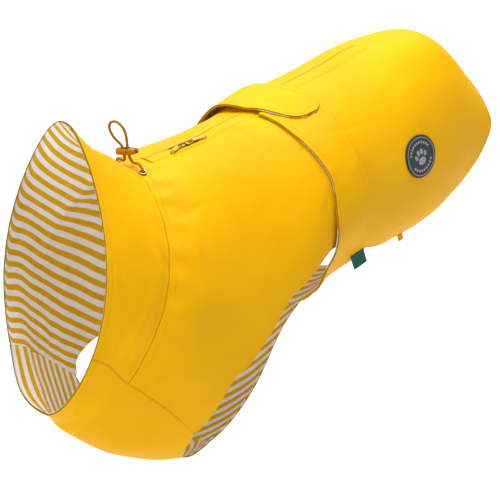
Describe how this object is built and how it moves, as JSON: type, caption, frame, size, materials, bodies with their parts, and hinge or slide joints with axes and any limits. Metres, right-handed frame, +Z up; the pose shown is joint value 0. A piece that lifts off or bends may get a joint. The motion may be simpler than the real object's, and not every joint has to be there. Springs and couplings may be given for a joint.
{
  "type": "dog raincoat",
  "caption": "Lined dog raincoat in its worn form, open at neck, legs, belly and hem, with a high collar, wrap-round belly band, covered back zip, drawcord with lock and round hip badge.",
  "frame": {"origin": "on the lining in the middle of the back, at the front end of the zip, where the wearer's withers carry the coat", "axes": "+X from the collar toward the tail hem, +Z up from the belly to the back, -Y is the wearer's left side, with the badge"},
  "size_m": [0.6412, 0.2442, 0.3965],
  "materials": {
    "coated_shell": "satin",
    "striped_lining": "matt",
    "badge_black": "satin",
    "label_green": "matt",
    "zip_metal": "worn",
    "eyelet_metal": "polished",
    "cord_yellow": "matt",
    "lock_plastic": "satin",
    "button_plastic": "satin"
  },
  "bodies": {
    "coat": {"collar": "coated_shell", "collar_lining": "striped_lining", "cape": "coated_shell", "cape_lining": "striped_lining", "chest_panel": "coated_shell", "chest_lining": "striped_lining", "belly_panel": "coated_shell", "belly_lining": "striped_lining", "belly_band": "coated_shell", "band_lining": "striped_lining", "zip_welt": "coated_shell", "badge": "badge_black", "zip_slider_front": "zip_metal", "zip_slider_rear": "zip_metal", "eyelet_left": "eyelet_metal", "eyelet_right": "eyelet_metal", "drawcord": "cord_yellow", "cord_lock": "lock_plastic", "label": "label_green", "hem_loop": "coated_shell"},
    "pull_front": {"pull_tab_front": "zip_metal"},
    "pull_rear": {"pull_tab_rear": "zip_metal"},
    "lock_button": {"lock_button": "button_plastic"}
  },
  "joints": [
    {"name": "pull_front_hinge", "type": "hinge", "parent": "coat", "child": "pull_front", "pos_m": [0.04486, -0.00645, 0.00359], "axis": [-0.3621, 0.9288, 0.0791], "range_deg": [0, 100]},
    {"name": "pull_rear_hinge", "type": "hinge", "parent": "coat", "child": "pull_rear", "pos_m": [0.05846, -0.00653, 0.00323], "axis": [-0.2333, -0.9702, -0.0655], "range_deg": [0, 100]},
    {"name": "button_slide", "type": "slide", "parent": "coat", "child": "lock_button", "axis": [-0.6226, 0.7732, 0.1205], "range_m": [0, 0.0022], "stiffness_N_per_m": 200}
  ]
}
